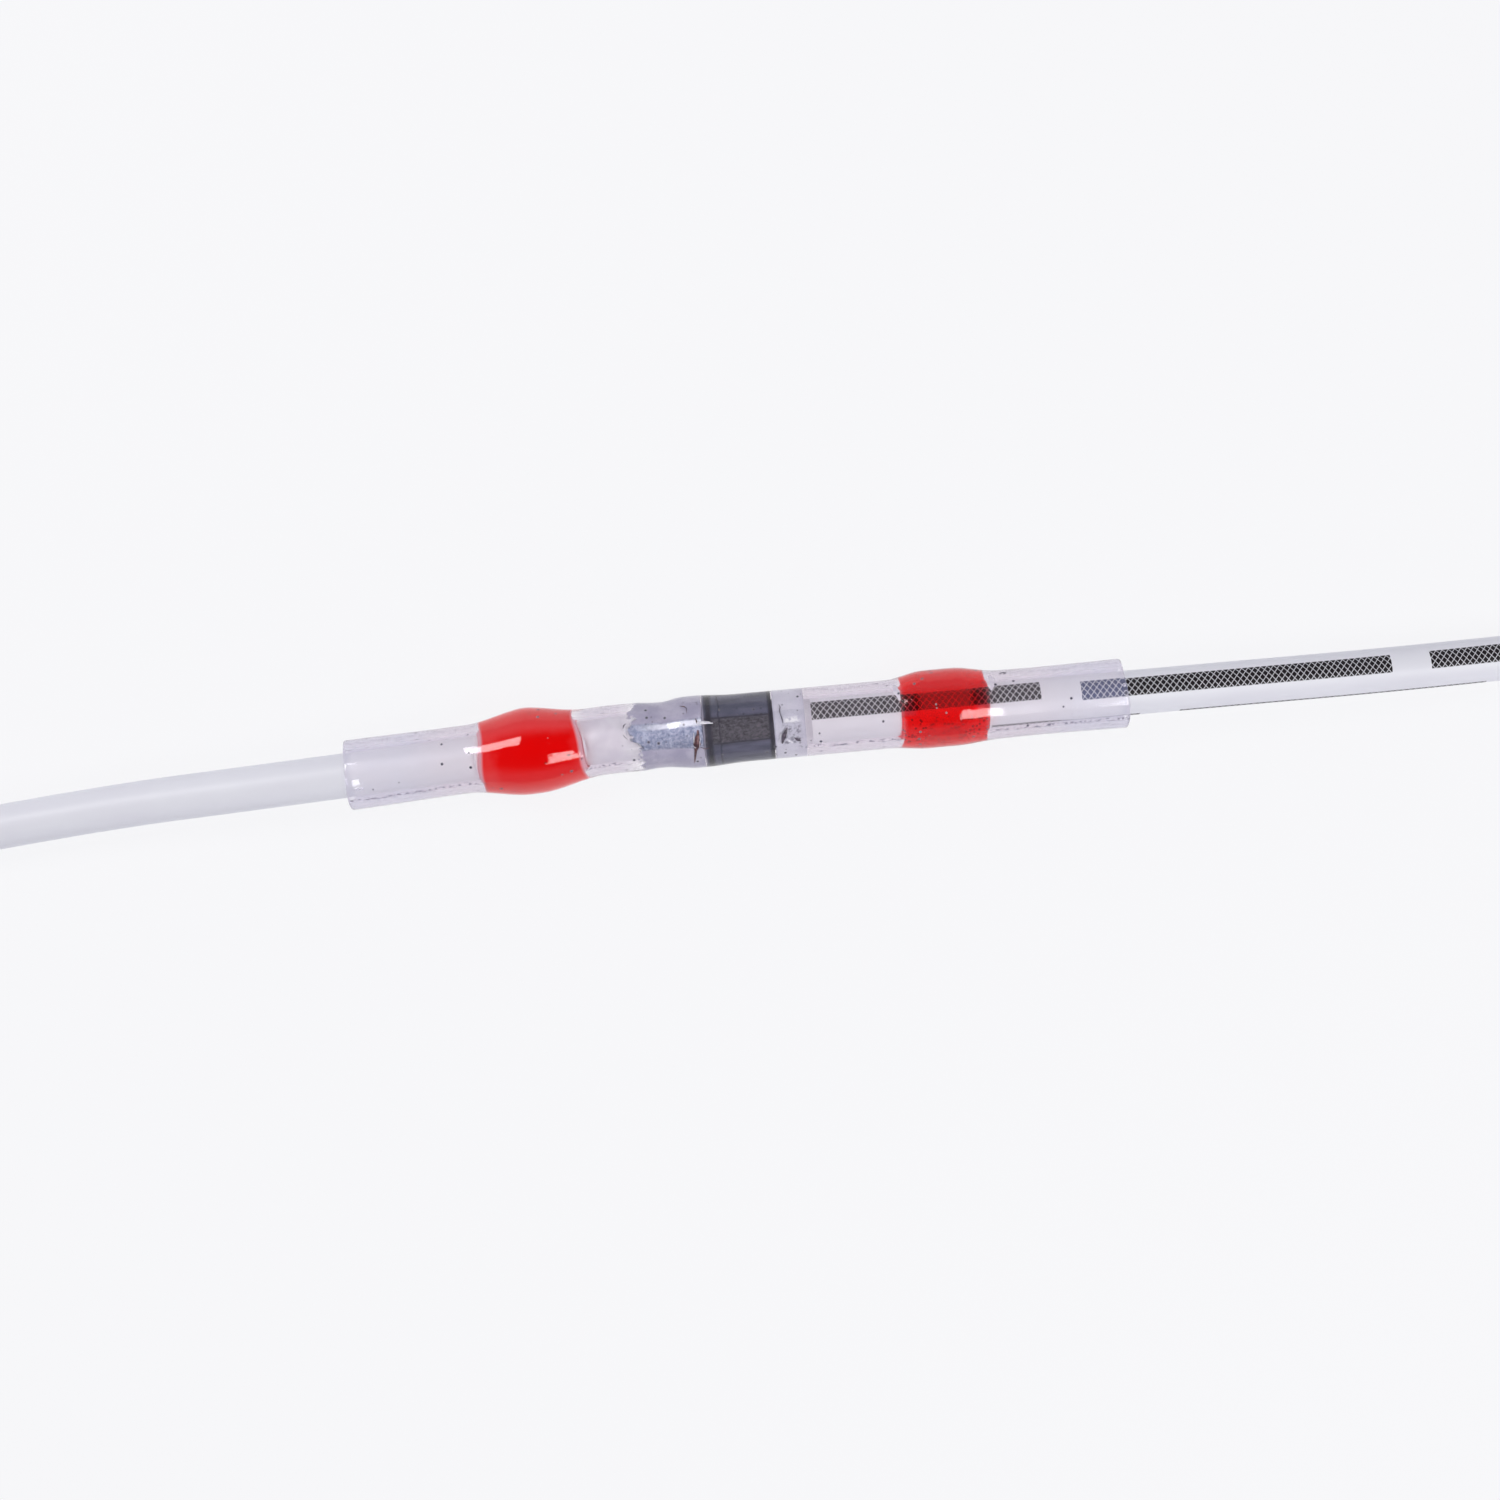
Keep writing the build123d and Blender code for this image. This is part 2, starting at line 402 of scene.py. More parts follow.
def sleeve_material():
    """Sleeve: clear where melted adhesive or flux wets it, a little milky elsewhere, with a clear bore"""
    material, tree = new_tree("sleeve")
    bore = attribute(tree, "reach")
    place = object_mm(tree)
    along = attribute(tree, "along")
    turn = attribute(tree, "turn")
    wet = largest(tree, *(window(tree, along, *zone) for zone in wet_zones))
    dry = rest_of(tree, wet)
    loose = window(tree, along, *loose_zone)
    scuffed = window(tree, along, *scuffed_zone)
    cloud = noise(tree, stretched(tree, place, (0.5, 1.0, 1.0)), 0.8)
    edge = tree.nodes.new("ShaderNodeLayerWeight")
    wire_up(tree, edge, {"Blend": 0.3})
    haze = total(tree, blend(tree, loose, 0.09, 0.005), product(tree, cloud, 0.02))
    milky = total(tree, product(tree, haze, dry), 0.002)
    rim = product(tree, edge.outputs["Facing"], blend(tree, wet, 0.2, 0.05))
    milky = total(tree, milky, rim)
    dirt = specks(tree, place, 2.2, 0.2, 0.22)
    tint = mix(tree, loose, rgb(233, 231, 243), rgb(235, 227, 235))
    tint = mix(tree, step(tree, cloud, 0.4, 0.6, 0.0, 0.5), tint, rgb(238, 233, 242))
    colour = mix(tree, wet, tint, rgb(253, 250, 252))
    # Faint dark speckled lines on the dry parts, at two turns that wander, darker and a little milky
    wander = total(tree, turn, sway(tree, cloud, 24.0))
    upper_line = product(tree, window(tree, wander, *upper_line_turns), upper_line_strength)
    dark_lines = largest(tree, upper_line, window(tree, wander, *lower_line_turns))
    grit = step(tree, noise(tree, place, 7.0, 4.0), 0.5, 0.56)
    dark_lines = product(tree, dark_lines, grit, dry)
    colour = mix(tree, dark_lines, colour, rgb(104, 100, 122))
    milky = largest(tree, milky, product(tree, dark_lines, 0.36))
    colour = mix(tree, dirt, colour, rgb(70, 66, 84))
    colour = mix(tree, bore, colour, rgb(253, 251, 253))
    milky = blend(tree, bore, largest(tree, milky, dirt), 0.03)
    cut_face = step(tree, bore, 1.15, 1.7)
    colour = mix(tree, cut_face, colour, rgb(232, 231, 240))
    milky = largest(tree, milky, product(tree, cut_face, 0.75))
    clear = maths(tree, "SUBTRACT", 1.0, milky, True)
    wrinkles = noise(tree, stretched(tree, place, (0.5, 1.6, 1.6)), 1.3, 2.0)
    wrinkles = product(tree, wrinkles, blend(tree, wet, 0.0, 1.0))
    grains = noise(tree, stretched(tree, place, (0.6, 1.0, 1.0)), 6.0, 2.0)
    grains = product(tree, grains, blend(tree, wet, 0.01, 0.7))
    grains = largest(tree, grains, product(tree, cloud, 0.2, scuffed))
    height = total(tree, wrinkles, grains)
    skin_roughness = total(tree, blend(tree, loose, 0.1, 0.06), product(tree, scuffed, 0.06))
    shader = principled(tree, {
        "Base Color": colour,
        "Roughness": blend(tree, bore, skin_roughness, 0.03),
        "IOR": 1.46,
        "Specular IOR Level": 0.7,
        "Transmission Weight": clear,
        "Normal": bump(tree, height, 0.16, 0.06),
    })
    finish_tree(tree, lit_through(tree, shader), wall_tint(tree))
    return material


grime_turns = (-75.0, -8.0, 8.0)
print_turns = (-8.0, 36.0, 4.0)


def seal_material(name, core, margin, core_place, see_through, grime_share):
    """Red hot-melt adhesive: a saturated core, paler towards the ends, lighter at the menisci"""
    material, tree = new_tree(name)
    place = object_mm(tree)
    along = attribute(tree, "along")
    turn = attribute(tree, "turn")
    wobble = sway(tree, noise(tree, place, 0.9), 1.0)
    start, stop, low, high = core_place
    deep = window(tree, total(tree, along, wobble), start, stop, 0.32)
    side = window(tree, total(tree, turn, product(tree, wobble, 16.0)), low, high, 14.0)
    deep = product(tree, deep, side)
    grime = specks(tree, place, 5.6, 0.42, grime_share)
    grime = product(tree, grime, window(tree, turn, *grime_turns))
    inset = attribute(tree, "reach")
    foot = maths(tree, "LESS_THAN", inset, -0.5)
    near_edge = fall(tree, inset, 0.4, 1.0)
    over_print = product(tree, near_edge, window(tree, turn, *print_turns), see_through)
    colour = mix(tree, deep, margin, core)
    colour = mix(tree, step(tree, inset, 0.05, 0.26, 0.75, 0.0), colour, rgb(246, 208, 216))
    colour = mix(tree, product(tree, grime, 0.9), colour, rgb(84, 8, 14))
    shader = principled(tree, {
        "Base Color": colour,
        "Roughness": 0.5,
        "Specular IOR Level": 0.0,
    })
    stain = mix(tree, over_print, rgb(255, 30, 34), rgb(226, 150, 160))
    stain = mix(tree, foot, stain, rgb(255, 255, 255))
    thin = product(tree, step(tree, inset, 0.0, 1.3, 0.28, 0.0), see_through)
    thin = maths(tree, "ADD", total(tree, thin, see_through), over_print, True)
    thin = product(tree, thin, rest_of(tree, product(tree, grime, 0.9)))
    both = mix_shaders(tree, largest(tree, thin, foot), shader, transparent(tree, stain))
    finish_tree(tree, lit_through(tree, both, stain))
    return material


def across_view(tree, turn, wander, amount):
    """How far a place is round from the top or the underside, 0 to 1, with a wandering line"""
    angle = product(tree, total(tree, turn, 3.0), math.radians(1))
    side = maths(tree, "ABSOLUTE", maths(tree, "SINE", angle))
    return total(tree, side, sway(tree, wander, amount))


# Painted shade: a dark line at each end of the band, as start, stop and how soft the ends are
band_end_shades = ((18.42, 18.72, 0.1), (21.62, 21.9, 0.08))
band_arc = (19.2, 19.28, 0.04)
band_rim = (18.1, 18.34, 0.04)


def band_material():
    """Solder ring under a skin of dark flux, with painted reflection on its sides and painted shade at its
    two ends
    """
    material, tree = new_tree("solder_band")
    place = object_mm(tree)
    along = attribute(tree, "along")
    turn = attribute(tree, "turn")
    grain = noise(tree, stretched(tree, place, (0.6, 1.0, 1.0)), 7.0, 6.0, 0.8)
    smear = noise(tree, stretched(tree, place, (0.4, 2.0, 2.0)), 1.2)
    slope = across_view(tree, turn, smear, 0.10)
    worn = mix(tree, step(tree, grain, 0.32, 0.66), rgb(26, 24, 32), rgb(92, 88, 96))
    # Painted reflection: the sides towards +Y and -Y are slate blue-grey, standing in for what the sleeve's
    # margins reflect there
    slate_reflection = mix(tree, step(tree, smear, 0.35, 0.65), rgb(72, 74, 92), rgb(94, 94, 114))
    colour = mix(tree, step(tree, slope, 0.34, 0.56), worn, slate_reflection)
    scored = window(tree, slope, 0.40, 0.45, 0.02)
    # Painted shade at the band's two ends, joined with the arc and the side lines into the dark marks
    lines = largest(tree, *(window(tree, along, *score) for score in band_end_shades))
    arc = window(tree, total(tree, along, product(tree, smear, 0.3)), *band_arc)
    marks_and_end_shades = largest(tree, lines, product(tree, largest(tree, arc, scored), 0.7))
    colour = mix(tree, marks_and_end_shades, colour, rgb(30, 28, 42))
    colour = mix(tree, window(tree, along, *band_rim), colour, rgb(150, 146, 160))
    pits = specks(tree, place, 3.2, 0.22, 0.25)
    colour = mix(tree, product(tree, pits, 0.6), colour, rgb(38, 34, 40))
    shader = principled(tree, {
        "Base Color": colour,
        "Metallic": 0.25,
        "Roughness": 0.55,
        "Normal": bump(tree, grain, 0.4, 0.05),
    })
    finish_tree(tree, shader)
    return material


# Places on the solder, along it and round it: a painted highlight streak, painted glints and sooty patches
highlight_streak_turns = (11.0, 22.0, 3.0)
glint_zone = (22.4, 23.15, 0.15)
glint_turns = (1.0, 12.0, 3.0)
soot_zone = (22.3, 23.2, 0.15)
soot_turns = (-44.0, 0.0, 3.0)


def solder_material():
    """Melted solder: bright, bluish, pitted, with a painted highlight streak along its top and painted
    glints right of the band
    """
    material, tree = new_tree("solder")
    place = object_mm(tree)
    along = attribute(tree, "along")
    turn = attribute(tree, "turn")
    past_edge = attribute(tree, "reach")
    grain = noise(tree, place, 6.0, 5.0, 0.7)
    patches = noise(tree, stretched(tree, place, (0.7, 1.0, 1.0)), 1.4)
    covered = step(tree, across_view(tree, turn, patches, 0.2), 0.42, 0.52)
    covered = largest(tree, covered, step(tree, along, 21.5, 21.8, 0.0, 0.75))
    bare = mix(tree, step(tree, grain, 0.22, 0.78), rgb(82, 92, 120), rgb(176, 180, 198))
    flux = mix(tree, step(tree, patches, 0.35, 0.65), rgb(200, 196, 212), rgb(176, 172, 194))
    flux = mix(tree, step(tree, along, 21.8, 22.0, 0.0, 0.7), flux, rgb(240, 238, 246))
    colour = mix(tree, covered, bare, flux)
    # Painted highlight: a bright streak along the top of the solder, partly cleaner metal
    highlight_streak = product(tree, window(tree, turn, *highlight_streak_turns), step(tree, along, 14.6, 16.4, 0.0, 0.6))
    highlight_streak = product(tree, highlight_streak, fall(tree, along, 18.3, 18.5))
    colour = mix(tree, highlight_streak, colour, rgb(244, 245, 250))
    # Painted glints: near-white specks where the solder glitters, right of the band
    glints = product(tree, window(tree, along, *glint_zone), window(tree, turn, *glint_turns))
    glints = product(tree, glints, step(tree, grain, 0.42, 0.52))
    colour = mix(tree, glints, colour, rgb(250, 250, 252))
    soot = product(tree, window(tree, along, *soot_zone), window(tree, turn, *soot_turns))
    soot = product(tree, soot, step(tree, grain, 0.46, 0.6, 0.0, 0.75))
    colour = mix(tree, soot, colour, rgb(104, 102, 118))
    pits = specks(tree, place, 3.0, 0.2, 0.35)
    colour = mix(tree, product(tree, pits, 0.6), colour, rgb(96, 92, 106))
    # Whitish line along the solder's ragged edge: white crumbs there, and partly a painted highlight
    lip_and_highlight = product(tree, fall(tree, past_edge, 0.05, 0.16), step(tree, grain, 0.45, 0.55))
    colour = mix(tree, lip_and_highlight, colour, rgb(248, 248, 250))
    shader = principled(tree, {
        "Base Color": colour,
        "Metallic": blend(tree, covered, 0.6, 0.0),
        "Roughness": blend(tree, covered, 0.4, 0.5),
        "Normal": bump(tree, grain, 0.6, 0.08),
    })
    finish_tree(tree, shader)
    return material


def film_material():
    """Thin film of flux over the insulation"""
    material, tree = new_tree("flux_film")
    cloud = noise(tree, object_mm(tree), 1.5)
    along = attribute(tree, "along")
    near_solder = largest(tree, step(tree, along, 14.1, 14.5), fall(tree, along, 23.6, 23.8))
    near_solder = product(tree, near_solder, step(tree, cloud, 0.35, 0.65, 0.0, 0.5))
    colour = mix(tree, near_solder, rgb(250, 248, 250), rgb(232, 227, 234))
    shader = principled(tree, {"Base Color": colour, "Roughness": 0.42})
    finish_tree(tree, shader)
    return material


def insulation_material(name, mouth, printed):
    """White insulation, cleaner inside the sleeve, with dashed stripes of crossed lines on one lead"""
    material, tree = new_tree(name)
    place = object_mm(tree)
    along = attribute(tree, "along")
    turn = attribute(tree, "turn")
    cloud = noise(tree, stretched(tree, place, (0.3, 1.0, 1.0)), 0.7)
    colour = mix(tree, cloud, rgb(228, 226, 234), rgb(238, 238, 243))
    dirt = specks(tree, place, 0.8, 0.05, 0.05)
    colour = mix(tree, product(tree, dirt, 0.8), colour, rgb(80, 78, 86))
    inside = fall(tree, along, mouth - 0.5, mouth)
    colour = mix(tree, inside, colour, rgb(250, 249, 250))
    if printed:
        ink = print_mask(tree, along, turn)
        under_mouth = window(tree, along, *mouth_zone)
        ink_colour = mix(tree, under_mouth, rgb(24, 18, 22), rgb(36, 50, 98))
        colour = mix(tree, ink, colour, ink_colour)
    shader = principled(tree, {
        "Base Color": colour,
        "Roughness": 0.42,
        "Specular IOR Level": 0.35,
    })
    finish_tree(tree, shader)
    return material


bar_length = 16.0
bar_gap = 2.05
first_bar = 13.92
lower_bar_shift = 5.1
lower_stripe_start = 9.3
stripe_middle = 15.5
stripe_half_width = 24.0
lower_stripe = (-118.0, -71.0)
mouth_zone = (12.9, 16.1, 0.05)
lattice_pitch = 0.25
lattice_line = 0.138
lattice_angle = math.radians(50.0)
lattice_strength = 0.8


def bar_mask(tree, along, start):
    """Bars along the lead, of which one begins at start"""
    period = bar_length + bar_gap
    laps = maths(tree, "DIVIDE", maths(tree, "SUBTRACT", along, start), period)
    return maths(tree, "LESS_THAN", maths(tree, "FRACT", laps), bar_length / period)


def print_mask(tree, along, turn):
    """Ink: bars along the lead, each a stripe with a lattice of bare lines in it"""
    across = product(tree, turn, math.radians(wire_radius))
    lines = 0.0
    for sign in (1, -1):
        lengthwise = product(tree, along, math.sin(lattice_angle) / lattice_pitch)
        crosswise = product(tree, across, sign * math.cos(lattice_angle) / lattice_pitch)
        share = maths(tree, "FRACT", total(tree, lengthwise, crosswise))
        line = maths(tree, "LESS_THAN", share, lattice_line)
        lines = largest(tree, line, lines)
    cells = rest_of(tree, product(tree, lines, lattice_strength))
    turn = maths(tree, "SUBTRACT", turn, step(tree, along, 11.9, 13.9, 11.0, 0.0))
    top = window(tree, turn, stripe_middle - stripe_half_width, stripe_middle + stripe_half_width, 1.5)
    top = product(tree, top, bar_mask(tree, along, first_bar))
    below = window(tree, turn, *lower_stripe, 2.0)
    below = product(tree, below, bar_mask(tree, along, first_bar + lower_bar_shift))
    below = product(tree, below, maths(tree, "GREATER_THAN", along, lower_stripe_start))
    return product(tree, largest(tree, top, below), cells)


def strand_material():
    """Tinned copper"""
    material, tree = new_tree("strand")
    place = object_mm(tree)
    worn = noise(tree, place, 3.0)
    shader = principled(tree, {
        "Base Color": mix(tree, step(tree, worn, 0.4, 0.6), rgb(196, 150, 122), rgb(206, 198, 194)),
        "Metallic": 0.9,
        "Roughness": 0.35,
    })
    finish_tree(tree, shader)
    return material


def crumb_material(name, pale, dark, metallic):
    """Flakes and slivers of solder, flux and copper"""
    material, tree = new_tree(name)
    grain = noise(tree, object_mm(tree), 7.0, 4.0)
    shader = principled(tree, {
        "Base Color": mix(tree, step(tree, grain, 0.35, 0.65), dark, pale),
        "Metallic": metallic,
        "Roughness": 0.35,
    })
    finish_tree(tree, shader)
    return material


paper_white = rgb(248, 248, 250)
paper_glow_share = 0.94


def paper_material():
    """White sweep: plain to the camera, yet it keeps a little of the object's shadow"""
    material, tree = new_tree("sweep")
    path = tree.nodes.new("ShaderNodeLightPath")
    glow = tree.nodes.new("ShaderNodeEmission")
    wire_up(tree, glow, {"Color": paper_white, "Strength": 1.0})
    plain = principled(tree, {"Base Color": paper_white, "Roughness": 1.0, "Specular IOR Level": 0.0})
    seen = largest(tree, *(path.outputs[f"Is {ray} Ray"] for ray in ("Camera", "Glossy", "Transmission")))
    finish_tree(tree, mix_shaders(tree, product(tree, seen, paper_glow_share), plain, glow.outputs[0]))
    return material


# Pieces


def dress(piece, materials, slot, *nodes):
    """Give a piece its materials, its place in the frame and the nodes that it stands for"""
    for material in materials:
        piece.data.materials.append(material)
    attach(piece, "root")
    if nodes:
        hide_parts(*nodes)
    return piece


pinch_start = 0.33
pinch_stop = 0.9
pinch_slope = 0.31
pinch_turns = (-28, -25, -9, -6)


def pinch_depth(station, turns):
    """Depth of the small pinched facet by the left mouth"""
    across = hill(turns, *pinch_turns)
    return pinch_slope * max(0, station - pinch_start) * float(station < pinch_stop) * across


def sleeve_stations(rim):
    """Stations along the sleeve, close together near its mouths"""
    fine_zone = 1.3
    fine_step = 0.11
    coarse_step = 0.3
    first = rim * 0.3
    near_mouth = np.arange(rim, fine_zone, fine_step)
    middle = np.arange(fine_zone, sleeve_length - fine_zone, coarse_step)
    far_mouth = sleeve_length - near_mouth[::-1]
    return np.concatenate(([first], near_mouth, middle, far_mouth, [sleeve_length - first]))


def make_sleeve():
    """Sleeve: skin and bore, joined by a rounded rim at each mouth"""
    ring = 280
    turns = round_turns(ring)
    rim = 0.07
    trim = 0.05 * np.sin(np.radians(2 * turns + 40))
    right_trim = 0.19 + 0.08 * np.sin(np.radians(turns)) + 0.03 * np.sin(np.radians(3 * turns))
    stations = sleeve_stations(rim)
    outer = []
    inner = []
    for station in stations:
        from_end = min(station, sleeve_length - station)
        rounding = 0.5 * max(0, rim - from_end)
        shift = trim * float(from_end < 0.2) if station < 1 else -right_trim * ease(station, 38.5, 39.8)
        radius = skin_radius(station, turns)
        outer.append((station + shift, radius - rounding - pinch_depth(station, turns)))
        inner.append((station + shift, radius - sleeve_wall + rounding))
    right_rim = (sleeve_length - right_trim, skin_radius(sleeve_length, turns) - sleeve_wall / 2)
    left_rim = (trim, skin_radius(0, turns) - sleeve_wall / 2)
    outline = outer + [right_rim] + inner[::-1] + [left_rim]
    # 0 on the skin, 1 in the bore, 2 on the cut faces
    inside = np.ones((len(outline), 1))
    inside[: len(stations)] = 0
    inside[[len(stations), -1]] = 2
    piece = lathe("sleeve", outline, ring=ring, closed=True, reach=inside)
    return dress(piece, [sleeve_material()], "sleeve", "heat_shrink_sleeve")


def make_seal(name, node, start, stop, edge_start, edge_stop, material):
    """Seal ring: fills the swell, with a wavering edge at each end"""
    turns = round_turns(96)
    foot = wire_radius + 0.03
    foot_step = 0.1
    start = start + edge_start(np.radians(turns))
    stop = stop + edge_stop(np.radians(turns))
    outline = [(start - foot_step, foot)]
    for share in np.linspace(0, 1, 41):
        station = start + (stop - start) * share
        shoulder = 0.12 * (1 - min(1, share / 0.02) * min(1, (1 - share) / 0.02)) ** 2
        outline.append((station, skin_radius(station, turns) - sleeve_wall + seal_press - shoulder))
    outline.append((stop + foot_step, foot))
    # in from the nearer end, and -1 at the foot of each end
    inset = np.array([np.minimum(station - start, stop - station) for station, _ in outline])
    inset[[0, -1]] = -1
    piece = lathe(name, outline, closed=True, reach=inset)
    return dress(piece, [material], "seal", node)


def make_seals():
    """Both seal rings, with the place of the core and the wave of each edge read off the photo"""
    left = seal_material("left_seal", core=rgb(250, 1, 1), margin=rgb(252, 50, 50),
                         core_place=(7.75, 11.7, -60, 28), see_through=0.03, grime_share=0.02)
    right = seal_material("right_seal", core=rgb(232, 24, 24), margin=rgb(232, 54, 56),
                          core_place=(29.0, 32.2, -60, -8), see_through=0.7, grime_share=0.8)
    make_seal("left_seal", "left_seal_ring", 6.8, 12.0,
              lambda a: 0.05 * np.sin(3 * a) + 0.12 * np.cos(a - 0.6),
              lambda a: -0.16 * np.sin(a) + 0.06 * np.sin(3 * a + 1), left)
    make_seal("right_seal", "right_seal_ring", 28.4, 32.78,
              lambda a: 0.10 * np.cos(a) - 0.05 * np.sin(2 * a) + 0.08 * np.sin(a) - 0.08,
              lambda a: 0.05 * np.sin(2 * a + 1) - 0.05 * np.cos(a), right)


def make_band():
    """Solder ring, pressed to the sleeve's bore"""
    turns = round_turns(96)
    bore = 1.12
    outline = [(band_start + 0.02, bore)]
    for share in np.linspace(0, 1, 33):
        station = band_start + (band_stop - band_start) * share
        corner = 0.06 * (1 - min(1, share / 0.03) * min(1, (1 - share) / 0.03))
        outline.append((station, skin_radius(station, turns) - sleeve_wall + seal_press - corner))
    outline.append((band_stop - 0.02, bore))
    piece = lathe("solder_band", outline, closed=True)
    return dress(piece, [band_material()], "solder_band", "solder_ring")


# Ragged left edge of the solder: turns and stations along it, read off the photo, and the size,
# number and phase of the waves on it
edge_turns = (-180, -120, -51, -22, 11, 38, 49, 90, 180)
edge_stations = (14.6, 14.9, 15.0, 15.0, 14.32, 14.8, 14.5, 14.8, 14.6)
edge_waves = ((0.06, 11, 0), (0.05, 17, 1), (0.04, 29, 2), (0.03, 41, 0))
left_melt_stop = 18.24
right_melt = (21.87, 23.45)
film_start = 11.9
film_stop = 23.8
melt_foot = 0.9
melt_waist = 1.05


def make_solder():
    """Solder on both sides of the ring, one melted body, with a film of flux on the insulation's ends"""
    turns = round_turns(160)
    angle = np.radians(turns)
    edge = np.interp(turns, edge_turns, edge_stations)
    for size, waves, phase in edge_waves:
        edge += size * np.sin(waves * angle + phase)
    film = wire_radius + 0.008
    outline = [(film_start, melt_foot), (film_start, film), (13.0, film), (14.1, film), (edge - 0.03, film)]
    film_rows = len(outline) - 1
    for share in np.linspace(0, 1, 70):
        station = edge + (left_melt_stop - edge) * share
        outline.append((station, melt_radius(station, turns) - 0.12 * (1 - min(1, share / 0.04)) ** 2))
    outline += [(18.3, melt_waist), (21.8, melt_waist)]
    for station in np.linspace(*right_melt, 28):
        outline.append((station, melt_radius(station, turns)))
    outline += [(23.5, film), (film_stop, film), (film_stop, melt_foot)]
    slots = np.zeros(len(outline) - 1, int)
    slots[:film_rows] = 1
    slots[-3:] = 1
    past_edge = np.array([np.broadcast_to(station - edge, turns.shape) for station, _ in outline])
    piece = lathe("solder", outline, ring=160, reach=past_edge, slots=slots)
    return dress(piece, [solder_material(), film_material()], "solder", "solder_fill")


def melt_radius(stations, turns):
    """Radius of the melted solder, lumpy, wetting the bore"""
    angle = np.radians(turns)
    lumps = 0.014 * np.sin(2.1 * stations + 2 * angle) + 0.01 * np.sin(5 * stations - 3 * angle)
    return skin_radius(stations, turns) - sleeve_wall + melt_press + lumps


def ribbon(width, spots, thickness=0.07):
    """Rows of a closed strip through spots given by station, turn and how far out from the bore"""
    stations, turns, outs = np.array(spots, float).T
    points = places(stations, turns, skin_radius(stations, turns) - sleeve_wall + outs)
    ways = np.gradient(points, axis=0)
    ways /= np.linalg.norm(ways, axis=1, keepdims=True)
    outward = points - axis_at(stations)[0]
    outward /= np.linalg.norm(outward, axis=1, keepdims=True)
    across = np.cross(ways, outward)
    taper = np.sin(np.linspace(0.25, math.pi - 0.25, len(points)))[:, None]
    taper = taper * (0.8 + 0.3 * np.sin(9 * stations + turns)[:, None])
    half = width / 2 * taper
    deep = thickness / 2 * taper
    corners = (across * half, outward * deep, -across * half, -outward * deep)
    return np.stack([points + corner for corner in corners], 1)


def strip_mesh(name, strips, materials, slot):
    """One piece of several closed strips"""
    vertices = []
    faces = []
    for rows in strips:
        base = len(vertices)
        count, ring = rows.shape[:2]
        vertices += (rows.reshape(-1, 3) * MM).tolist()
        for row in range(count - 1):
            for corner in range(ring):
                nxt = (corner + 1) % ring
                near, far = base + row * ring, base + (row + 1) * ring
                faces.append((near + corner, near + nxt, far + nxt, far + corner))
        faces.append(tuple(base + corner for corner in range(ring)))
        faces.append(tuple(base + (count - 1) * ring + corner for corner in reversed(range(ring))))
    mesh = bpy.data.meshes.new(name)
    mesh.from_pydata(vertices, [], faces)
    piece = bpy.data.objects.new(name, mesh)
    bpy.context.scene.collection.objects.link(piece)
    return dress(piece, materials, slot)


# Debris: each strip has its width and its spots, read off the photo
copper_strips = [
    (0.38, [(18.02, 2, 0.1), (18.0, -6, 0.12), (17.95, -12, 0.1), (17.92, -22, 0.12), (17.82, -36, 0.1),
            (17.7, -66, 0.1)]),
    (0.08, [(17.2, 55, 0.1), (17.4, 52, 0.12), (17.52, 48, 0.1), (17.52, 36, 0.1)]),
    (0.12, [(17.95, 24, 0.1), (17.98, 18, 0.1), (18.0, 14, 0.1)]),
    (0.08, [(18.05, -30, 0.1), (18.3, -34, 0.12), (18.5, -33, 0.1)]),
]
crumb_and_glint_strips = [
    # The first crumb is a white flake put where the joint shows a glint: partly a painted highlight
    (0.24, [(18.0, 15, 0.12), (18.3, 14.5, 0.14), (18.6, 13.5, 0.14), (18.8, 12, 0.12)]),
    (0.14, [(14.5, 34, 0.1), (14.7, 36, 0.12), (14.85, 39, 0.1)]),
    (0.16, [(14.34, 20, 0.1), (14.36, 12, 0.12), (14.44, 8, 0.1)]),
    (0.09, [(17.8, -2, 0.12), (17.78, -12, 0.14), (17.76, -22, 0.12)]),
    (0.1, [(17.72, -26, 0.12), (17.8, -30, 0.12), (17.9, -28, 0.1)]),
    (0.07, [(18.12, -12, 0.12), (18.06, -20, 0.14), (18.02, -30, 0.12)]),
    (0.12, [(22.2, -18, 0.12), (22.12, -26, 0.12), (22.08, -36, 0.1)]),
    (0.16, [(22.4, -30, 0.12), (22.55, -36, 0.14), (22.75, -40, 0.12)]),
]
flux_strips = [
    (0.06, [(22.2, 40, 0.1), (22.26, 33, 0.12), (22.2, 26, 0.12), (22.24, 18, 0.12), (22.3, 8, 0.12),
            (22.32, 0, 0.1)]),
    (0.24, [(22.52, -8, 0.12), (22.44, -14, 0.14), (22.32, -24, 0.14), (22.2, -40, 0.12)]),
    (0.22, [(22.85, -30, 0.12), (23.0, -34, 0.14), (23.15, -38, 0.12)]),
    (0.06, [(14.25, 18, 0.1), (14.3, 24, 0.12), (14.42, 28, 0.1)]),
    (0.06, [(14.22, 6, 0.1), (14.3, 2, 0.12), (14.44, -4, 0.1)]),
    (0.07, [(18.66, 13.6, 0.16), (18.7, 13.4, 0.17), (18.74, 13.2, 0.16)]),
    (0.1, [(17.1, -86, 0.3), (17.2, -87, 0.38), (17.3, -86, 0.3)]),
]
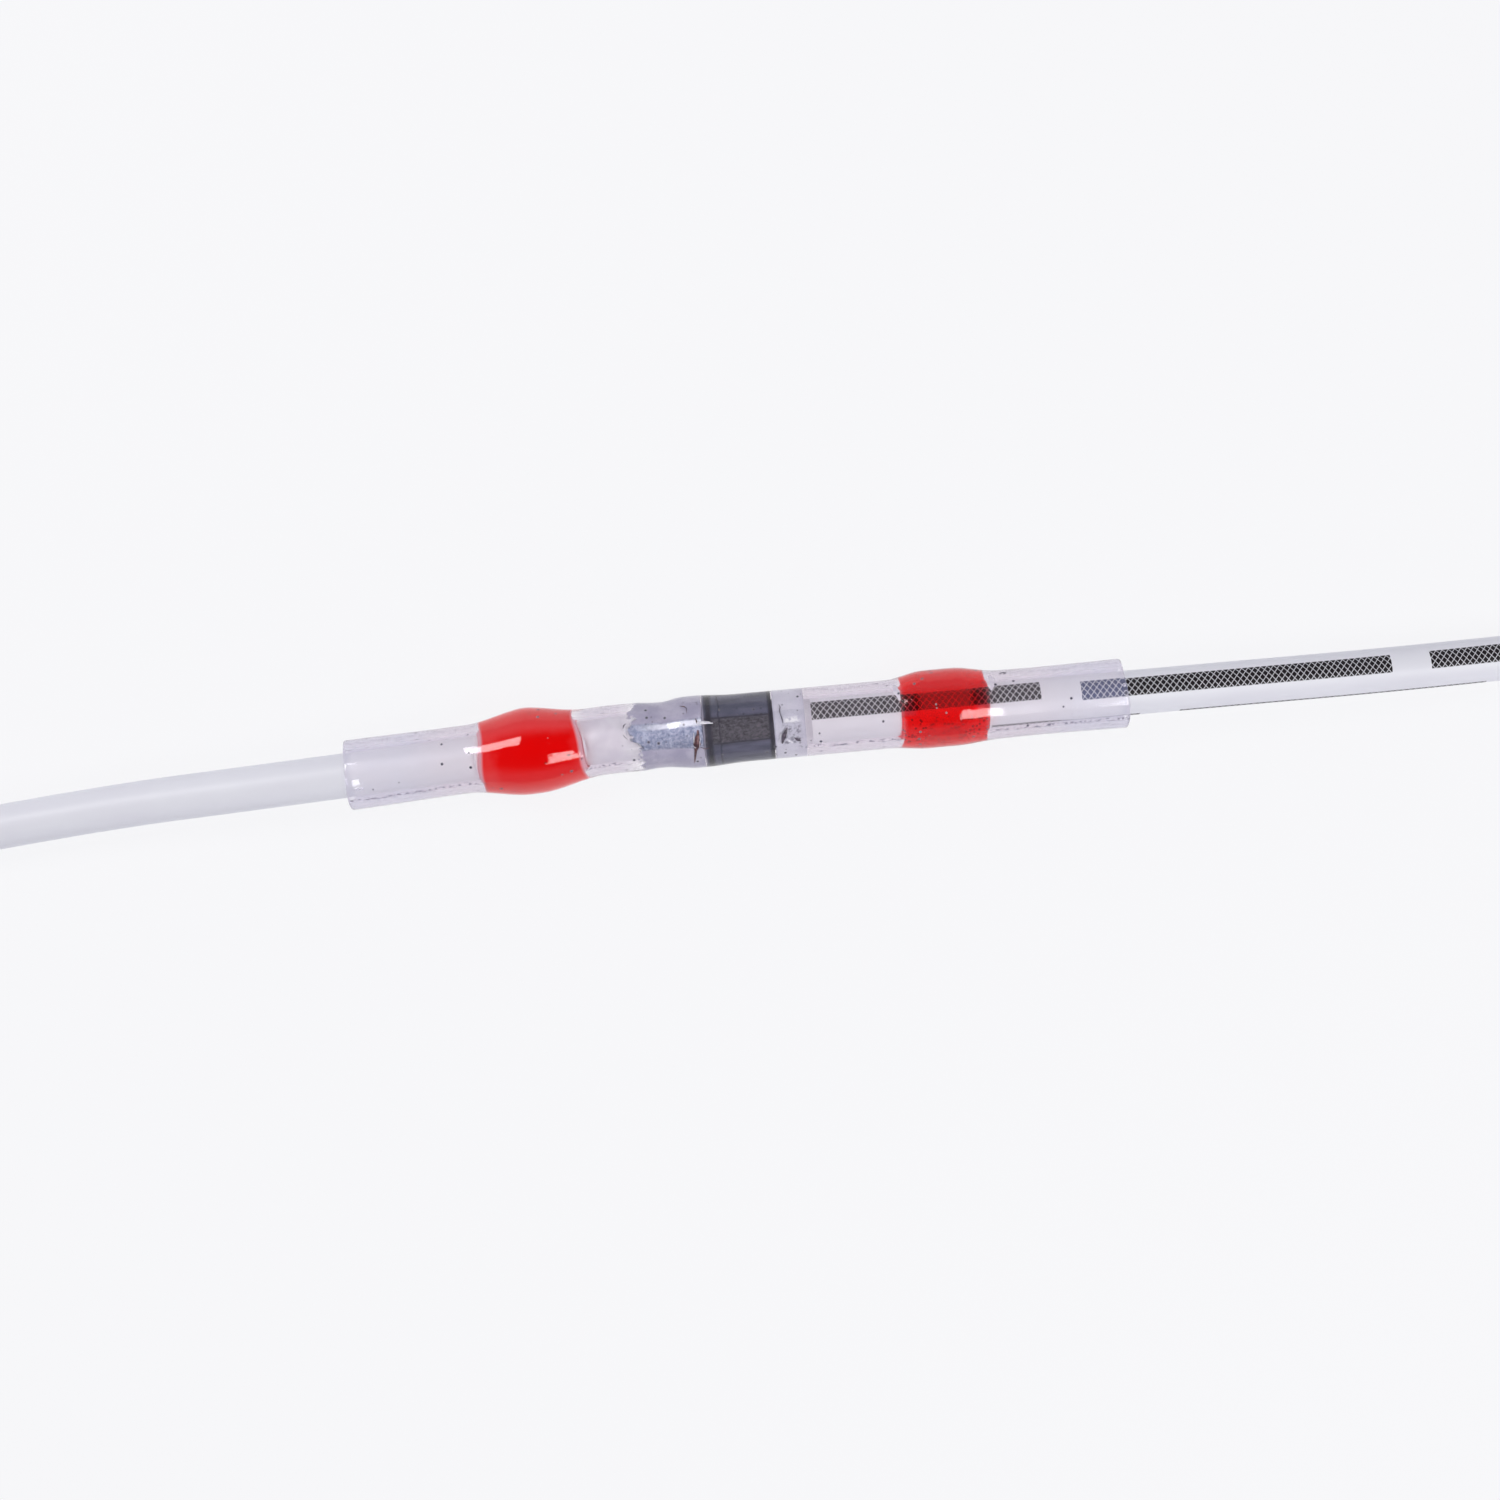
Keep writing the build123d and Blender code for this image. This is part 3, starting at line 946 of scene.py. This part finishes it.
meniscus_strips = [
    (0.42, [(32.95, 28, 0.04), (32.97, 38, 0.05), (33.0, 48, 0.05), (33.02, 56, 0.05), (33.03, 68, 0.04)]),
    (0.42, [(28.34, 24, 0.04), (28.28, 34, 0.05), (28.22, 44, 0.05), (28.18, 54, 0.05), (28.15, 66, 0.04)]),
    (0.12, [(12.16, 18, 0.04), (12.2, 6, 0.05), (12.22, -8, 0.05), (12.22, -22, 0.05), (12.2, -36, 0.04)]),
    (0.08, [(6.74, 44, 0.04), (6.68, 26, 0.05), (6.66, 6, 0.05), (6.68, -14, 0.05), (6.74, -40, 0.04)]),
]
hair_spots = [(33.5, 58), (33.58, 63), (33.72, 66), (33.8, 61), (33.7, 58), (33.95, 69)]


def make_debris():
    """Slivers, crumbs and flakes on the joint, one white flake partly a painted highlight, menisci at the
    seals, and a loose hair
    """
    menisci = [ribbon(*strip) for strip in meniscus_strips]
    on_skin = sleeve_wall + 0.005
    hair = [ribbon(0.13, [(station, turn, on_skin) for station, turn in hair_spots], thickness=0.05)]
    slivers = [ribbon(*strip) for strip in copper_strips]
    crumbs = [ribbon(*strip) for strip in crumb_and_glint_strips]
    flakes = [ribbon(*strip) for strip in flux_strips]
    meniscus_looks = crumb_material("meniscus", rgb(255, 253, 255), rgb(244, 238, 246), 0.0)
    hair_looks = crumb_material("hair", rgb(84, 80, 94), rgb(60, 56, 68), 0.0)
    copper_looks = crumb_material("copper", rgb(108, 68, 68), rgb(48, 24, 32), 0.2)
    crumb_and_glint_looks = crumb_material("crumb_and_glint", rgb(252, 252, 254), rgb(214, 212, 222), 0.1)
    flux_looks = crumb_material("flux", rgb(96, 86, 100), rgb(44, 38, 50), 0.1)
    strip_mesh("seal_menisci", menisci, [meniscus_looks], "seal")
    strip_mesh("hair", hair, [hair_looks], "sleeve")
    strip_mesh("copper_slivers", slivers, [copper_looks], "strand")
    strip_mesh("solder_crumbs_and_glint", crumbs, [crumb_and_glint_looks], "solder")
    strip_mesh("flux_flakes", flakes, [flux_looks], "solder_band")


def route_points(name, route):
    """Points of the smooth line through a lead's route"""
    curve = bpy.data.curves.new(name, "CURVE")
    curve.dimensions = "3D"
    curve.resolution_u = 40
    spline = curve.splines.new("NURBS")
    spline.points.add(len(route) - 1)
    for point, place in zip(spline.points, route):
        point.co = [value * MM for value in place] + [1.0]
    spline.order_u = 3
    spline.use_endpoint_u = True
    holder = bpy.data.objects.new(name, curve)
    line = bpy.data.meshes.new_from_object(holder)
    points = np.array([vertex.co for vertex in line.vertices]) / MM
    bpy.data.objects.remove(holder)
    bpy.data.curves.remove(curve)
    bpy.data.meshes.remove(line)
    return points


def make_lead(name, node, route, insulation, core):
    """Lead: insulation swept along its route, with its strands showing at the cut end"""
    rounding = 0.05
    hole = 0.45
    points = route_points(name + "_line", route)
    ways = np.gradient(points, axis=0)
    ways /= np.linalg.norm(ways, axis=1, keepdims=True)
    sides = np.cross((0, 0, 1), ways)
    sides /= np.linalg.norm(sides, axis=1, keepdims=True)
    if ways[0][0] < 0:
        sides = -sides
    ups = np.cross(ways, sides)
    ups *= np.sign(ups[:, 2:])
    run = np.concatenate(([0], np.cumsum(np.linalg.norm(np.diff(points, axis=0), axis=1))))
    turns = round_turns(64)
    angle = np.radians(turns)

    def ring(index, radius, shift=0.0):
        spread = radius * (np.cos(angle)[:, None] * ups[index] + np.sin(angle)[:, None] * sides[index])
        return points[index] + ways[index] * shift + spread

    last = len(points) - 1
    rows = [ring(0, hole, 0.25), ring(0, hole)]
    rows += [ring(0, wire_radius - rounding), ring(0, wire_radius, rounding)]
    rows += [ring(index, wire_radius) for index in range(1, last)]
    rows += [ring(last, wire_radius, -rounding), ring(last, wire_radius - rounding)]
    rows += [ring(last, hole), ring(last, hole, -0.6)]
    along = np.concatenate(([0, 0, 0], run[:-1], [run[-1]] * 4))[:, None]
    piece = skin(name, rows, along, turns, wire_radius)
    dress(piece, [insulation], "insulation", node)
    cut = []
    spokes = np.radians(round_turns(16))[:, None]
    spread = strand_radius * (np.cos(spokes) * ups[last] + np.sin(spokes) * sides[last])
    for number in range(7):
        lean = 2 * math.pi * number / 6
        offset = 0 if number == 6 else 0.26
        middle = points[last] + offset * (math.cos(lean) * ups[last] + math.sin(lean) * sides[last])
        cut.append(np.array([middle + spread - ways[last] * 0.55, middle + spread - ways[last] * 0.06]))
    strands = strip_mesh(name + "_cut_strands", cut, [core], "strand")
    return piece


def make_leads():
    """Both leads, and the look of the strands in the joint"""
    core = strand_material()
    left = insulation_material("left_insulation", mouth=14.2, printed=False)
    right = insulation_material("right_insulation", mouth=16.2, printed=True)
    make_lead("left_lead", "left_wire", left_route, left, core)
    make_lead("right_lead", "right_wire", right_route, right, core)
    for name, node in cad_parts.items():
        if "strand" in name:
            node.data.materials.clear()
            node.data.materials.append(core)


# Studio

lamp_height = 200.0
lamp_radiance = 10.2
# each lamp: name, and the stretch of sky it fills along X and Y, as shares of its height
lamps = [("left_lamp", (-0.9, -0.33), (0.32, 0.8)), ("right_lamp", (0.265, 0.7), (-0.86, -0.24))]
# the tent goes dark between two heights of a sight line, 0 at the horizon and 1 overhead
tent_rise = (0.35, 0.8)
tent_zenith = 0.02
tent_side = 0.6


def make_sweep():
    """White paper under everything"""
    mesh = bpy.data.meshes.new("sweep")
    half = 2000.0 * MM
    corners = [(-half, -half, 0), (half, -half, 0), (half, half, 0), (-half, half, 0)]
    mesh.from_pydata(corners, [], [(0, 1, 2, 3)])
    mesh.materials.append(paper_material())
    sweep = bpy.data.objects.new("sweep", mesh)
    bpy.context.scene.collection.objects.link(sweep)


def make_lamps():
    """A broad lamp on each side"""
    for name, span_x, span_y in lamps:
        data = bpy.data.lights.new(name, "AREA")
        data.shape = "RECTANGLE"
        data.size = (span_x[1] - span_x[0]) * lamp_height * MM
        data.size_y = (span_y[1] - span_y[0]) * lamp_height * MM
        data.energy = lamp_radiance * math.pi * data.size * data.size_y
        lamp = bpy.data.objects.new(name, data)
        lamp.location = [share * lamp_height * MM for share in (sum(span_x) / 2, sum(span_y) / 2, 1)]
        bpy.context.scene.collection.objects.link(lamp)


def make_tent():
    """Tent that is dark overhead and pale at its sides, and white to the camera"""
    world = bpy.data.worlds.new("tent")
    bpy.context.scene.world = world
    world.use_nodes = True
    tree = world.node_tree
    tree.nodes.clear()
    coordinates = tree.nodes.new("ShaderNodeTexCoord")
    split = tree.nodes.new("ShaderNodeSeparateXYZ")
    wire_up(tree, split, {0: coordinates.outputs["Generated"]})
    glow = tree.nodes.new("ShaderNodeBackground")
    level = step(tree, split.outputs["Z"], *tent_rise, tent_side, tent_zenith)
    wire_up(tree, glow, {"Color": rgb(238, 240, 255), "Strength": level})
    backdrop = tree.nodes.new("ShaderNodeBackground")
    wire_up(tree, backdrop, {"Color": paper_white, "Strength": 1.0})
    path = tree.nodes.new("ShaderNodeLightPath")
    seen = largest(tree, path.outputs["Is Camera Ray"], path.outputs["Is Transmission Ray"])
    both = mix_shaders(tree, seen, glow.outputs[0], backdrop.outputs[0])
    output = tree.nodes.new("ShaderNodeOutputWorld")
    tree.links.new(both, output.inputs["Surface"])


make_camera()
make_leads()
make_solder()
make_band()
make_debris()
make_seals()
make_sleeve()
make_sweep()
make_lamps()
make_tent()
bpy.context.scene.view_settings.view_transform = "Standard"
